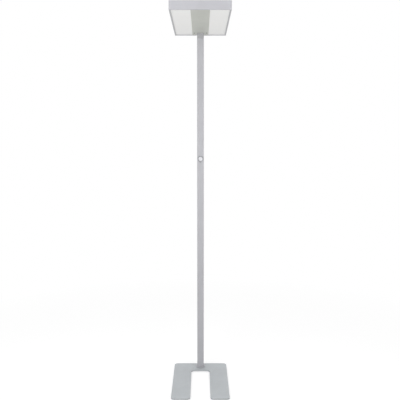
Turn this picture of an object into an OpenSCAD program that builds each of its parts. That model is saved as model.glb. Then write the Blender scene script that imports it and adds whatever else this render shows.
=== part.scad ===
// Office floor lamp with a flat direct and indirect head on a slim post and a U-shaped base.
// Millimetres. Z is up, the floor is z = 0 and the lamp faces -Y.
// The origin is on the floor under the middle of the head.

/* [Overall] */
// Height from the floor to the top of the head
lamp_h = 1993; // [1700:1:2200]

/* [Base] */
// Width of the base plate
base_w = 310; // [280:5:400]
// Length of the base plate from its rear edge to the ends of its legs
base_l = 450; // [380:5:600]
// Thickness of the base plate
base_t = 8; // [6:0.5:14]
// Width of the slot between the legs
slot_w = 106; // [70:2:120]
// Distance from the rear edge to the closed end of the slot
slot_back = 97; // [96:1:140]
// Radius of the plate's outer corners
base_corner_r = 20; // [5:1:24]
// Radius of the corners at the closed end of the slot
slot_corner_r = 17; // [5:1:30]
// Height of the rubber glides under the plate
glide_h = 2; // [1:0.5:5]
// Diameter of the glides
glide_d = 24; // [16:1:30]
// Distance from the plate's edges to the middles of the glides
glide_inset = 25; // [20:1:40]

/* [Foot] */
// Height of the round flange at the foot of the post
foot_flange_h = 4; // [2:0.5:8]
// How far the flange reaches outside the corners of the post
foot_flange_rim = 1.4; // [1:0.1:6]
// Height of the block inside the foot
foot_block_h = 40; // [30:1:48]
// Diameter of the screws that come up through the base plate
foot_screw_d = 6; // [5:1:8]
// Length of the screws that come up through the base plate
foot_screw_l = 30; // [20:1:35]
// Distance between the screws that come up through the base plate
foot_screw_pitch = 20; // [16:1:22]

/* [Post] */
// Width of the post
post_w = 38; // [36:1:46]
// Depth of the post from front to rear
post_d = 38; // [38:1:46]
// Wall of the post
post_wall = 2; // [1.5:0.1:2.5]
// Radius of the post's corners
post_corner_r = 3; // [2.6:0.1:5]
// Distance from the rear edges of head and base to the front face of the post
post_setback = 60; // [58:1:70]
// Diameter of the screws in the post's rear face
post_screw_d = 5; // [4:1:6]
// Length of the screws in the post's rear face
post_screw_l = 10; // [8:1:12]

/* [Neck] */
// Height of the neck that shows between the post and the head
neck_h = 24; // [10:1:60]
// Height of the shadow gap between the post and the neck
neck_gap = 1; // [1:0.5:6]
// Length of the spigot inside the post
spigot_l = 80; // [60:1:120]
// Diameter of the bore for the leads
lead_bore_d = 20; // [18:0.5:22]

/* [Head] */
// Width of the head
head_w = 290; // [270:5:340]
// Length of the head
head_l = 610; // [560:5:900]
// Height of the head
head_h = 42; // [42:1:60]
// Wall of the frame rails
rail_t = 2.5; // [2:0.1:4]
// How far the lips that carry the panels reach inside the rails' walls
lip_w = 5.5; // [5.5:0.5:10]
// Thickness of the lips
lip_t = 3; // [2.5:0.1:4]
// How far the shelves that carry the chassis plate reach inside the rails' walls
shelf_w = 8.5; // [8:0.5:12]
// Thickness of the shelves
shelf_t = 2; // [1.5:0.1:3]
// Height of the top of the shelves above the head's underside
shelf_h = 20; // [20:0.5:21]
// Length of one leg of a corner bracket
bracket_leg = 30; // [20:1:40]
// Height of the corner brackets
bracket_h = 12; // [8:1:14]
// Thickness of the corner brackets
bracket_t = 2.5; // [2:0.1:4]

/* [Panels] */
// Width of the metal panels in the middle of the head
panel_w = 90; // [90:1:110]
// Thickness of the sheet metal
sheet_t = 1.5; // [1:0.1:2]
// Width that the metal panels reach past their folded walls
panel_edge = 3; // [2.5:0.1:5]
// Thickness of the diffusers
diffuser_t = 3; // [2:0.1:4]
// Thickness of the top windows
window_t = 3; // [2:0.1:4]
// Wall of the white frames round the downlight chambers
reflector_t = 1; // [0.8:0.1:1.5]
// Number of slots in the top cover
vent_count = 12; // [4:1:16]
// Width of one slot in the top cover
vent_w = 4; // [2:0.5:6]
// Length of one slot in the top cover
vent_l = 40; // [20:1:50]
// Distance between the slots in the top cover
vent_pitch = 16; // [12:1:20]

/* [Lighting] */
// Thickness of the chassis plate
chassis_t = 2; // [1.5:0.1:3]
// Width of an LED board
board_w = 60; // [40:1:66]
// Length of an LED board
board_l = 540; // [300:5:550]
// Thickness of an LED board
board_t = 1.6; // [1:0.1:2]
// Side of one LED
led_size = 3; // [2:0.5:5]
// Height of one LED
led_h = 0.8; // [0.5:0.1:1.2]
// Number of LEDs along a board
led_count = 14; // [6:1:24]
// Length of the driver between its ears
driver_l = 250; // [200:1:300]
// Width of the driver
driver_w = 30; // [24:1:40]
// Height of the driver
driver_h = 15; // [12:0.5:16]

/* [Leads] */
// Diameter of the mains lead inside the post
mains_d = 6; // [5:0.5:7]
// Diameter of the lead from the control
control_lead_d = 4; // [3:0.5:5]
// Diameter of the leads to and from the driver
wire_d = 2.5; // [2:0.1:3]
// Height of the cord inlet above the floor
inlet_h = 70; // [66:1:150]
// Diameter of the cord inlet's body
inlet_d = 16; // [14:1:18]
// Height of the terminal block
terminal_h = 12; // [10:1:13]

/* [Control] */
// Height of the push button above the floor
control_h = 1250; // [900:5:1400]
// Diameter of the push button
button_d = 24; // [20:0.5:25]
// Travel of the push button
button_travel = 1.5; // [1:0.1:2]
// Outer diameter of the ring round the button
bezel_d = 34; // [33:0.5:35]
// How far the ring stands out of the post
bezel_proud = 1.2; // [0.8:0.1:2]
// Diameter of the small indicator below the button
indicator_d = 3.2; // [2:0.2:4]

/* [Clearances] */
// Gap round panels and plates that drop into their places
panel_gap = 0.3; // [0.2:0.05:0.5]
// Gap round screws, spigots and leads
fit_gap = 0.1; // [0.05:0.05:0.2]
// Gap round the button's cap
button_gap = 0.3; // [0.3:0.05:0.5]
// Gap round the button's stem
stem_gap = 0.06; // [0.02:0.02:0.1]

/* [Hidden] */
$fn = 64;

sides = [-1, 1];
past = 1; // how far a cutting shape runs past the face it cuts

// Places along Y and Z that many pieces share
rear_y = head_l / 2;
post_front_y = rear_y - post_setback;
post_rear_y = post_front_y + post_d;
post_y = post_front_y + post_d / 2;
base_top = glide_h + base_t;
head_z = lamp_h - head_h;
neck_z = head_z - neck_h;
post_top = neck_z - neck_gap;
chassis_z = head_z + shelf_h;
chassis_top = chassis_z + chassis_t;
deck_z = head_z + lip_t;          // where the diffusers lie
window_z = lamp_h - window_t;     // where the top windows lie
inside_x = head_w / 2 - rail_t;
inside_y = head_l / 2 - rail_t;
fold_x = panel_w / 2 - panel_edge; // outer faces of the panels' folded walls
lip_y = inside_y - lip_w;          // inner edges of the front and rear lips
shelf_y = inside_y - shelf_w;      // inner edges of the front and rear shelves

// Foot
plate_mid_y = rear_y - base_l / 2;
post_corner_reach = norm([post_w / 2 - post_corner_r, post_d / 2 - post_corner_r]) + post_corner_r;
flange_r = post_corner_reach + foot_flange_rim;
core_w = post_w - 2 * post_wall;   // hollow inside the post
core_d = post_d - 2 * post_wall;
core_r = post_corner_r - post_wall;
plug_w = core_w - 2 * fit_gap;
plug_d = core_d - 2 * fit_gap;
foot_head_d = 2 * foot_screw_d;

// Screws in the post's rear face
post_head_d = post_screw_d * 1.8;
post_head_h = post_screw_d / 2;
post_screw_edge = 11;              // from the end of a block to its nearest screw
spigot_z = post_top - spigot_l;
post_screw_zs = [
  base_top + post_screw_edge,
  base_top + foot_block_h - post_screw_edge,
  spigot_z + post_screw_edge,
  post_top - post_screw_edge
];

// Cord inlet
inlet_bore_d = mains_d + 1;
inlet_rim = 3;                     // how far its flange and its nut reach past its body
inlet_flange_t = 5;
inlet_nut_t = 3;
inlet_nut_y = post_rear_y - post_wall - inlet_nut_t;

// Leads
mains_x = -lead_bore_d / 4;
control_lead_x = lead_bore_d / 4;
lead_bend_r = 12;
lead_y = inlet_nut_y - lead_bend_r;

// Head bracket
bracket_plate_t = 3;
bracket_plate_w = 80;
bracket_front = 200;               // how far it reaches forward of the post
bracket_fold_h = 10;
bracket_screw_d = 6;
bracket_screw_pitch = 28;
bracket_screw_grip = 20;           // length of thread in the neck block
bracket_z = chassis_top + bracket_plate_t;
bracket_head_d = 10;
bracket_head_h = 6;

// Terminal block
terminal_w = 40;
terminal_l = 20;
terminal_y = post_front_y - 12;    // its rear face
terminal_lead_z = bracket_z + terminal_h / 2;

// Control, measured along Y from the post's front face
bezel_body_r = bezel_d / 2 - 1.8;
bezel_wall = 1.2;
chamber_r = bezel_body_r - bezel_wall;
button_r = button_d / 2;
button_front = -0.4;
lip_front = 1.4;
lip_rear = 3;
flange_front = lip_rear + button_gap;
flange_rear = flange_front + 2;
flange_step_r = min(button_r + 1.2, chamber_r - button_gap);
housing_front = flange_rear + button_travel + 1.2;
housing_face_t = 2;
stem_r = 3.5;
stem_end = housing_front + housing_face_t + 1;
switch_top = stem_end + button_travel + button_gap;
switch_cap_h = 0.6;
switch_h = 2.4;
board_front = switch_top + switch_cap_h + switch_h;
control_board_t = 1.6;
housing_rear = board_front + control_board_t;
housing_wall = 1.5;
housing_w = min(32, core_w - 2);
housing_below = 24;
housing_above = 20;
indicator_r = indicator_d / 2;
indicator_drop = bezel_d / 2 + indicator_r + 1;
spring_r = 6.5;
spring_wire = 1.6;
plug_socket = [8, 4, 10];          // socket of the control lead, behind the switch board
socket_rise = 4;                   // its lower end above the button's axis

// LED boards
board_x = (fold_x + inside_x) / 2;
led_rows = 2;
led_row_pitch = board_w / 2;
led_pitch = board_l / led_count;

// Leads between the terminal block, the driver and the boards
driver_y = -20;                    // middle of the driver
wire_bend_r = 5;
wire_hole_d = wire_d + 4;
wire_drop = driver_h / 2;          // below the chassis plate, where leads enter the driver
driver_lead_x = driver_w / 3;
driver_lead_y = driver_y + driver_l / 2 + 30;
board_lead_y = driver_y - driver_l / 2 - 28;
down_lead_x = driver_w / 5;
up_lead_x = driver_w * 0.4;
up_lead_y = driver_y - driver_l / 2 - 20;
up_lead_z = chassis_top + 2 * wire_bend_r - 2;
plug_l = 8;                        // plug on a board
plug_h = 8;

// Small screws
m3 = 3;
m4 = 4;
chassis_screws_per_side = 4;
chassis_screw_x = inside_x - m4 - fit_gap;
chassis_screw_pitch = (head_l - 90) / (chassis_screws_per_side - 1);
panel_screw_x = fold_x - sheet_t - 6.5;
panel_screw_y = post_front_y - 6;
panel_head_d = 2 * m4;
panel_head_h = lip_t - sheet_t - 0.2;
driver_ear = 14;
driver_ear_t = 2;
cover_screw_x = 30;
cover_screw_y = inside_y - m3 - 2 * fit_gap;
tab_w = 12;
tab_reach = 5;

// ---- shapes that repeat ----

module rounded_rect(w, l, r) {
  square([w - 2 * r, l], center = true);
  square([w, l - 2 * r], center = true);
  for (x = sides, y = sides)
    translate([x * (w / 2 - r), y * (l / 2 - r)]) circle(r);
}

// Corner filled up to a concave quarter circle; the corner is at the origin
module fillet(r) {
  difference() {
    square(r);
    translate([r, r]) circle(r);
  }
}

module box(low, high) {
  translate(low) cube(high - low);
}

// Flat-headed screw: its head is above z = 0 and its shank below
module pan_screw(d, head_d, head_h, length) {
  cylinder(d = head_d, h = head_h);
  translate([0, 0, -length]) cylinder(d = d, h = length);
}

// Countersunk screw: the flat of its head is at z = 0
module countersunk_screw(d, head_d, length) {
  sink = (head_d - d) / 2;
  translate([0, 0, -sink]) cylinder(d1 = d, d2 = head_d, h = sink);
  translate([0, 0, -length]) cylinder(d = d, h = length);
}

// Hole that holds a countersunk screw with a gap all round
module countersunk_hole(d, head_d, length) {
  sink = (head_d - d) / 2;
  translate([0, 0, -sink]) cylinder(d1 = d + 2 * fit_gap, d2 = head_d + 2 * fit_gap, h = sink);
  translate([0, 0, -length - past]) cylinder(d = d + 2 * fit_gap, h = length + 2 * past);
}

// Frame rail along X, its outer face at y = 0 and its ends cut to 45 degrees
module rail(length) {
  reach = rail_t + shelf_w;
  intersection() {
    rotate([90, 0, 90]) translate([0, 0, -length / 2]) linear_extrude(length) {
      square([rail_t, head_h]);
      square([rail_t + lip_w, lip_t]);
      translate([0, shelf_h - shelf_t]) square([reach, shelf_t]);
      translate([0, head_h - window_t - shelf_t]) square([rail_t + lip_w, shelf_t]);
    }
    linear_extrude(head_h) polygon([
      [-length / 2, 0],
      [length / 2, 0],
      [length / 2 - reach, reach],
      [-length / 2 + reach, reach]
    ]);
  }
}

module at_chassis_screws() {
  for (side = sides, i = [0 : chassis_screws_per_side - 1])
    translate([side * chassis_screw_x, (i - (chassis_screws_per_side - 1) / 2) * chassis_screw_pitch])
      children();
}

module at_bracket_screws() {
  for (x = sides, y = sides)
    translate([x * bracket_screw_pitch / 2, post_y + y * bracket_screw_pitch / 2]) children();
}

module at_foot_screws() {
  for (x = sides, y = sides)
    translate([x * foot_screw_pitch / 2, post_y + y * foot_screw_pitch / 2]) children();
}

// Along Y from the post's rear face, pointing out of it
module at_post_screws() {
  for (z = post_screw_zs) translate([0, post_rear_y, z]) rotate([-90, 0, 0]) children();
}

// Along Y from the post's front face, pointing into it
module at_control() {
  translate([0, post_front_y, control_h]) rotate([-90, 0, 0]) children();
}

module at_panel_screws() {
  for (x = sides) translate([x * panel_screw_x, panel_screw_y]) children();
}

module at_driver_screws() {
  for (y = sides) translate([0, driver_y + y * (driver_l + driver_ear) / 2]) children();
}

module at_lead_holes() {
  translate([driver_lead_x, driver_lead_y]) children();
  for (x = sides) translate([x * up_lead_x, up_lead_y]) children();
}

module at_cover_screws() {
  for (x = sides, y = sides) translate([x * cover_screw_x, y * cover_screw_y]) children();
}

// ---- base ----

module base_plate() {
  leg_w = (base_w - slot_w) / 2;
  color([0.73, 0.74, 0.75]) difference() {
    translate([0, plate_mid_y, glide_h]) linear_extrude(base_t) {
      for (x = sides) translate([x * (slot_w + leg_w) / 2, 0]) rounded_rect(leg_w, base_l, base_corner_r);
      translate([-base_w / 2 + base_corner_r, base_l / 2 - slot_back])
        square([base_w - 2 * base_corner_r, slot_back]);
      for (x = [0, 1]) mirror([x, 0]) translate([slot_w / 2, base_l / 2 - slot_back])
        rotate(180) fillet(slot_corner_r);
    }
    at_foot_screws() translate([0, 0, glide_h]) mirror([0, 0, 1])
      countersunk_hole(foot_screw_d, foot_head_d, base_t);
  }
}

module base_glides() {
  color([0.12, 0.12, 0.12])
    for (x = sides, y = [-1, 0, 1])
      translate([x * (base_w / 2 - glide_inset), plate_mid_y + y * (base_l / 2 - glide_inset)])
        cylinder(d = glide_d, h = glide_h);
}

module foot_flange() {
  color([0.55, 0.55, 0.56]) translate([0, post_y, base_top]) difference() {
    cylinder(r = flange_r, h = foot_flange_h);
    translate([0, 0, -past]) linear_extrude(foot_flange_h + 2 * past)
      rounded_rect(post_w + 2 * fit_gap, post_d + 2 * fit_gap, post_corner_r);
  }
}

module foot_block() {
  color([0.6, 0.6, 0.62]) difference() {
    translate([0, post_y, base_top]) linear_extrude(foot_block_h) rounded_rect(plug_w, plug_d, core_r);
    at_foot_screws() translate([0, 0, base_top - past])
      cylinder(d = foot_screw_d + 2 * fit_gap, h = foot_screw_l - base_t + 2 * past);
    at_post_screws() translate([0, 0, -post_screw_l - past])
      cylinder(d = post_screw_d + 2 * fit_gap, h = post_screw_l + 2 * past);
  }
}

module foot_screws() {
  color([0.75, 0.75, 0.76])
    at_foot_screws() translate([0, 0, glide_h]) mirror([0, 0, 1])
      countersunk_screw(foot_screw_d, foot_head_d, foot_screw_l);
}

// ---- post ----

module post_profile() {
  color([0.76, 0.76, 0.78]) difference() {
    translate([0, post_y, base_top]) linear_extrude(post_top - base_top) difference() {
      rounded_rect(post_w, post_d, post_corner_r);
      rounded_rect(core_w, core_d, core_r);
    }
    at_control() translate([0, 0, -past])
      cylinder(r = bezel_body_r + fit_gap, h = post_wall + 2 * past);
    at_control() translate([0, indicator_drop, -past])
      cylinder(r = indicator_r + fit_gap, h = post_wall + 2 * past);
    at_post_screws() translate([0, 0, -post_wall - past])
      cylinder(d = post_screw_d + 2 * fit_gap, h = post_wall + 2 * past);
    translate([0, post_rear_y, inlet_h]) rotate([-90, 0, 0]) translate([0, 0, -post_wall - past])
      cylinder(d = inlet_d + 2 * fit_gap, h = post_wall + 2 * past);
  }
}

module post_screws() {
  color([0.75, 0.75, 0.76])
    at_post_screws() pan_screw(post_screw_d, post_head_d, post_head_h, post_screw_l);
}

module cable_gland() {
  color([0.15, 0.15, 0.16])
    translate([0, post_rear_y, inlet_h]) rotate([-90, 0, 0]) difference() {
      union() {
        cylinder(d = inlet_d + 2 * inlet_rim, h = inlet_flange_t);
        translate([0, 0, -post_wall - inlet_nut_t]) cylinder(d = inlet_d, h = post_wall + inlet_nut_t);
      }
      translate([0, 0, -post_wall - inlet_nut_t - past])
        cylinder(d = inlet_bore_d, h = post_wall + inlet_nut_t + inlet_flange_t + 2 * past);
    }
}

module gland_nut() {
  color([0.2, 0.2, 0.21])
    translate([0, inlet_nut_y, inlet_h]) rotate([-90, 0, 0]) difference() {
      cylinder(d = inlet_d + 2 * inlet_rim, h = inlet_nut_t, $fn = 6);
      translate([0, 0, -past]) cylinder(d = inlet_d + 2 * fit_gap, h = inlet_nut_t + 2 * past);
    }
}

// Quarter ring of a lead round Z, from +X to +Y
module quarter_ring(d, r) {
  rotate_extrude(angle = 90) translate([r, 0]) circle(d = d);
}

// Quarter ring of a lead round X, counted from +Y towards +Z
module upright_ring(d, r, turn) {
  rotate([90, 0, 90]) rotate(turn) quarter_ring(d, r);
}

// Straight stretch of a lead along Y
module lead_along_y(d, x, z, from_y, to_y) {
  translate([x, from_y, z]) rotate([-90, 0, 0]) cylinder(d = d, h = to_y - from_y);
}

// Straight stretch of a lead along X
module lead_along_x(d, y, z, from_x, to_x) {
  translate([from_x, y, z]) rotate([0, 90, 0]) cylinder(d = d, h = to_x - from_x);
}

module mains_lead() {
  low = inlet_h + lead_bend_r;
  high = terminal_lead_z - lead_bend_r;
  color([0.85, 0.85, 0.86]) {
    translate([mains_x, inlet_nut_y, low]) upright_ring(mains_d, lead_bend_r, 180);
    translate([mains_x, lead_y, low]) cylinder(d = mains_d, h = high - low);
    translate([mains_x, lead_y - lead_bend_r, high]) upright_ring(mains_d, lead_bend_r, 0);
    lead_along_y(mains_d, mains_x, terminal_lead_z, terminal_y, lead_y - lead_bend_r);
  }
}

// ---- control ----

module control_bezel() {
  color([0.45, 0.45, 0.47]) at_control() rotate_extrude() polygon([
    [button_r + button_gap, lip_front],
    [bezel_d / 2 - 1, -bezel_proud],
    [bezel_d / 2, -bezel_proud],
    [bezel_d / 2, 0],
    [bezel_body_r, 0],
    [bezel_body_r, housing_front],
    [chamber_r, housing_front],
    [chamber_r, lip_rear],
    [button_r + button_gap, lip_rear]
  ]);
}

module push_button() {
  dish = 0.8;
  dish_r = button_r - 2.5;
  color([0.93, 0.93, 0.95]) at_control() rotate_extrude() polygon([
    [0, button_front + dish],
    [dish_r / 2, button_front + dish * 0.75],
    [dish_r, button_front],
    [button_r, button_front],
    [button_r, flange_front],
    [flange_step_r, flange_front],
    [flange_step_r, flange_rear],
    [stem_r, flange_rear],
    [stem_r, stem_end],
    [0, stem_end]
  ]);
}

module button_spring() {
  color([0.8, 0.8, 0.82]) at_control()
    translate([0, 0, flange_rear + button_gap]) difference() {
      cylinder(r = spring_r, h = housing_front - flange_rear - button_gap);
      translate([0, 0, -past]) cylinder(r = spring_r - spring_wire, h = housing_front - flange_rear + past);
    }
}

module control_housing() {
  depth = housing_rear - housing_front;
  color([0.2, 0.2, 0.22]) at_control() difference() {
    translate([-housing_w / 2, -housing_above, housing_front])
      cube([housing_w, housing_above + housing_below, depth]);
    translate([-housing_w / 2 + housing_wall, -housing_above + housing_wall, housing_front + housing_face_t])
      cube([housing_w - 2 * housing_wall, housing_above + housing_below - 2 * housing_wall, depth]);
    translate([0, 0, housing_front - past]) cylinder(r = stem_r + stem_gap, h = housing_face_t + 2 * past);
    translate([0, indicator_drop, housing_front - past])
      cylinder(r = indicator_r + fit_gap, h = housing_face_t + 2 * past);
  }
}

module switch_board() {
  edge = housing_wall + fit_gap;
  switch_w = 7;
  cap_r = 1.8;
  color([0.1, 0.35, 0.2]) at_control() {
    translate([-housing_w / 2 + edge, -housing_above + edge, board_front])
      cube([housing_w - 2 * edge, housing_above + housing_below - 2 * edge, control_board_t]);
    translate([-switch_w / 2, -switch_w / 2, board_front - switch_h]) cube([switch_w, switch_w, switch_h]);
    translate([0, 0, switch_top]) cylinder(r = cap_r, h = switch_cap_h);
    translate([control_lead_x - plug_socket.x / 2, -plug_socket.z - socket_rise, housing_rear])
      cube([plug_socket.x, plug_socket.z, plug_socket.y]);
  }
}

module indicator_lens() {
  color([0.25, 0.25, 0.27]) at_control() translate([0, indicator_drop, -fit_gap])
    cylinder(r = indicator_r, h = board_front + fit_gap);
}

module control_lead() {
  low = control_h + plug_socket.z + socket_rise;
  high = terminal_lead_z - lead_bend_r;
  run_y = post_front_y + housing_rear + plug_socket.y / 2;
  color([0.3, 0.3, 0.32]) {
    translate([control_lead_x, run_y, low]) cylinder(d = control_lead_d, h = high - low);
    translate([control_lead_x, run_y - lead_bend_r, high]) upright_ring(control_lead_d, lead_bend_r, 0);
    lead_along_y(control_lead_d, control_lead_x, terminal_lead_z, terminal_y, run_y - lead_bend_r);
  }
}

// ---- neck ----

module neck_block() {
  color([0.74, 0.74, 0.76]) difference() {
    translate([0, post_y, 0]) union() {
      translate([0, 0, spigot_z]) linear_extrude(neck_z - spigot_z) rounded_rect(plug_w, plug_d, core_r);
      translate([0, 0, neck_z]) linear_extrude(chassis_z - neck_z) rounded_rect(post_w, post_d, post_corner_r);
    }
    translate([0, post_y, spigot_z - past])
      cylinder(d = lead_bore_d, h = chassis_z - spigot_z + 2 * past);
    at_bracket_screws() translate([0, 0, chassis_z - bracket_screw_grip])
      cylinder(d = bracket_screw_d + 2 * fit_gap, h = bracket_screw_grip + past);
    at_post_screws() translate([0, 0, -post_screw_l - past])
      cylinder(d = post_screw_d + 2 * fit_gap, h = post_screw_l + 2 * past);
  }
}

module head_bracket() {
  low_y = post_front_y - bracket_front;
  color([0.62, 0.62, 0.63]) difference() {
    union() {
      box([-bracket_plate_w / 2, low_y, chassis_top], [bracket_plate_w / 2, post_rear_y, bracket_z]);
      for (x = [0, 1]) mirror([x, 0, 0])
        box([bracket_plate_w / 2 - bracket_plate_t, low_y, chassis_top],
            [bracket_plate_w / 2, post_rear_y, bracket_z + bracket_fold_h]);
    }
    translate([0, post_y, chassis_top - past]) cylinder(d = lead_bore_d + 6, h = bracket_plate_t + 2 * past);
    at_bracket_screws() translate([0, 0, chassis_top - past])
      cylinder(d = bracket_screw_d + 2 * fit_gap, h = bracket_plate_t + 2 * past);
    at_driver_screws() translate([0, 0, chassis_top - past])
      cylinder(d = m4 + 2 * fit_gap, h = bracket_plate_t + 2 * past);
    at_lead_holes() translate([0, 0, chassis_top - past])
      cylinder(d = wire_hole_d, h = bracket_plate_t + 2 * past);
  }
}

module bracket_screws() {
  color([0.75, 0.75, 0.76])
    at_bracket_screws() translate([0, 0, bracket_z])
      pan_screw(bracket_screw_d, bracket_head_d, bracket_head_h,
                bracket_z - chassis_z + bracket_screw_grip - past);
}

// ---- chassis ----

module chassis_plate() {
  half = [inside_x - panel_gap, inside_y - panel_gap];
  color([0.78, 0.78, 0.78]) difference() {
    box([-half.x, -half.y, chassis_z], [half.x, half.y, chassis_top]);
    translate([0, post_y, chassis_z - past]) cylinder(d = lead_bore_d + 4, h = chassis_t + 2 * past);
    at_bracket_screws() translate([0, 0, chassis_z - past])
      cylinder(d = bracket_screw_d + 2 * fit_gap, h = chassis_t + 2 * past);
    at_chassis_screws() translate([0, 0, chassis_z - past])
      cylinder(d = m4 + 2 * fit_gap, h = chassis_t + 2 * past);
    at_panel_screws() translate([0, 0, chassis_z - past])
      cylinder(d = m4 + 2 * fit_gap, h = chassis_t + 2 * past);
    at_driver_screws() translate([0, 0, chassis_z - past])
      cylinder(d = m4 + 2 * fit_gap, h = chassis_t + 2 * past);
    at_lead_holes() translate([0, 0, chassis_z - past])
      cylinder(d = wire_hole_d, h = chassis_t + 2 * past);
  }
}

module chassis_screws() {
  color([0.75, 0.75, 0.76])
    at_chassis_screws() translate([0, 0, chassis_top]) pan_screw(m4, 2 * m4, m4 / 2, chassis_t + shelf_t);
}

module grommet(outer_d, inner_d, h) {
  translate([0, 0, chassis_z]) difference() {
    cylinder(d = outer_d, h = h);
    translate([0, 0, -past]) cylinder(d = inner_d, h = h + 2 * past);
  }
}

module lead_grommets() {
  color([0.1, 0.1, 0.1]) {
    translate([0, post_y]) grommet(lead_bore_d + 4, lead_bore_d, chassis_t + bracket_plate_t);
    at_lead_holes() grommet(wire_hole_d, wire_d + 2 * fit_gap, chassis_t);
  }
}

// ---- frame of the head ----

module rail_holes() {
  at_chassis_screws() translate([0, 0, chassis_z - shelf_t - past])
    cylinder(d = m4 + 2 * fit_gap, h = shelf_t + 2 * past);
  at_cover_screws() translate([0, 0, window_z - shelf_t - past])
    cylinder(d = m3 + 2 * fit_gap, h = shelf_t + 2 * past);
}

module front_rail() {
  color([0.8, 0.8, 0.82]) difference() {
    translate([0, -head_l / 2, head_z]) rail(head_w);
    rail_holes();
  }
}

module rear_rail() {
  color([0.8, 0.8, 0.82]) difference() {
    translate([0, head_l / 2, head_z]) rotate(180) rail(head_w);
    rail_holes();
  }
}

module left_rail() {
  color([0.8, 0.8, 0.82]) difference() {
    translate([-head_w / 2, 0, head_z]) rotate(-90) rail(head_l);
    rail_holes();
  }
}

module right_rail() {
  color([0.8, 0.8, 0.82]) difference() {
    translate([head_w / 2, 0, head_z]) rotate(90) rail(head_l);
    rail_holes();
  }
}

module corner_brackets() {
  low = chassis_top + 2;
  color([0.6, 0.6, 0.62])
    for (x = [0, 1], y = [0, 1]) mirror([x, 0, 0]) mirror([0, y, 0]) {
      box([inside_x - bracket_t, inside_y - bracket_leg, low], [inside_x, inside_y, low + bracket_h]);
      box([inside_x - bracket_leg, inside_y - bracket_t, low], [inside_x, inside_y, low + bracket_h]);
    }
}

// ---- panels ----

module centre_panel() {
  end_y = lip_y - panel_gap;
  wall_y = shelf_y - panel_gap;
  color([0.72, 0.72, 0.71]) difference() {
    union() {
      box([-panel_w / 2, -end_y, deck_z - sheet_t], [panel_w / 2, end_y, deck_z]);
      for (x = [0, 1]) mirror([x, 0, 0]) {
        box([fold_x - sheet_t, -wall_y, deck_z - sheet_t], [fold_x, wall_y, chassis_z]);
        box([fold_x - 2 * tab_w, -end_y - tab_reach, deck_z],
            [fold_x - tab_w, -end_y + tab_reach, deck_z + sheet_t]);
      }
    }
    translate([0, post_y, head_z - past]) linear_extrude(lip_t + 2 * past)
      square([post_w + 2 * panel_gap, post_d + 2 * panel_gap], center = true);
    at_panel_screws() translate([0, 0, head_z - past])
      cylinder(d = m4 + 2 * fit_gap, h = lip_t + 2 * past);
    lead_along_x(wire_hole_d, board_lead_y, chassis_z - wire_drop, -panel_w / 2, panel_w / 2);
  }
}

module panel_screws() {
  color([0.35, 0.35, 0.36])
    at_panel_screws() translate([0, 0, deck_z - sheet_t]) mirror([0, 0, 1])
      pan_screw(m4, panel_head_d, panel_head_h, chassis_top - deck_z + sheet_t);
}

module diffuser(side) {
  mirror([side > 0 ? 0 : 1, 0, 0])
    box([fold_x + panel_gap, -inside_y + panel_gap, deck_z],
        [inside_x - panel_gap, inside_y - panel_gap, deck_z + diffuser_t]);
}

module left_diffuser() {
  color([0.94, 0.94, 0.93]) diffuser(-1);
}

module right_diffuser() {
  color([0.94, 0.94, 0.93]) diffuser(1);
}

module reflector(side) {
  low = [fold_x + panel_gap, -inside_y + panel_gap, deck_z + diffuser_t];
  high = [inside_x - panel_gap, inside_y - panel_gap, chassis_z - shelf_t - panel_gap];
  wall = [reflector_t, reflector_t, 0];
  reach = [0, 0, past];
  mirror([side > 0 ? 0 : 1, 0, 0]) difference() {
    box(low, high);
    box(low + wall - reach, high - wall + reach);
    lead_along_x(wire_hole_d, board_lead_y, chassis_z - wire_drop, 0, board_x);
  }
}

module left_reflector() {
  color([0.97, 0.97, 0.97]) reflector(-1);
}

module right_reflector() {
  color([0.97, 0.97, 0.97]) reflector(1);
}

module top_cover() {
  end_y = inside_y - panel_gap;
  wall_y = lip_y - panel_gap;
  ledge_z = window_z - sheet_t;
  color([0.76, 0.76, 0.78]) difference() {
    union() {
      box([-panel_w / 2, -end_y, lamp_h - sheet_t], [panel_w / 2, end_y, lamp_h]);
      for (y = [0, 1]) mirror([0, y, 0])
        box([-fold_x, wall_y - sheet_t, window_z], [fold_x, end_y, lamp_h - sheet_t]);
      for (x = [0, 1]) mirror([x, 0, 0]) {
        box([fold_x - sheet_t, -wall_y, chassis_top], [fold_x, wall_y, lamp_h]);
        box([fold_x - sheet_t, -wall_y, ledge_z], [panel_w / 2 + lip_w, wall_y, window_z]);
      }
    }
    at_cover_screws() translate([0, 0, lamp_h]) countersunk_hole(m3, 2 * m3, window_t);
    lead_along_x(wire_hole_d, up_lead_y, up_lead_z, -panel_w / 2, panel_w / 2);
    for (i = [0 : vent_count - 1])
      translate([0, driver_y + (i - (vent_count - 1) / 2) * vent_pitch, lamp_h - sheet_t - past])
        linear_extrude(sheet_t + 2 * past) rounded_rect(vent_l, vent_w, vent_w / 2 - fit_gap);
  }
}

module cover_screws() {
  color([0.75, 0.75, 0.76])
    at_cover_screws() translate([0, 0, lamp_h]) countersunk_screw(m3, 2 * m3, window_t + shelf_t);
}

module top_window(side) {
  mirror([side > 0 ? 0 : 1, 0, 0])
    box([panel_w / 2 + panel_gap, -inside_y + panel_gap, window_z],
        [inside_x - panel_gap, inside_y - panel_gap, lamp_h]);
}

module left_top_window() {
  color([0.9, 0.92, 0.93]) top_window(-1);
}

module right_top_window() {
  color([0.9, 0.92, 0.93]) top_window(1);
}

// ---- lighting ----

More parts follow.
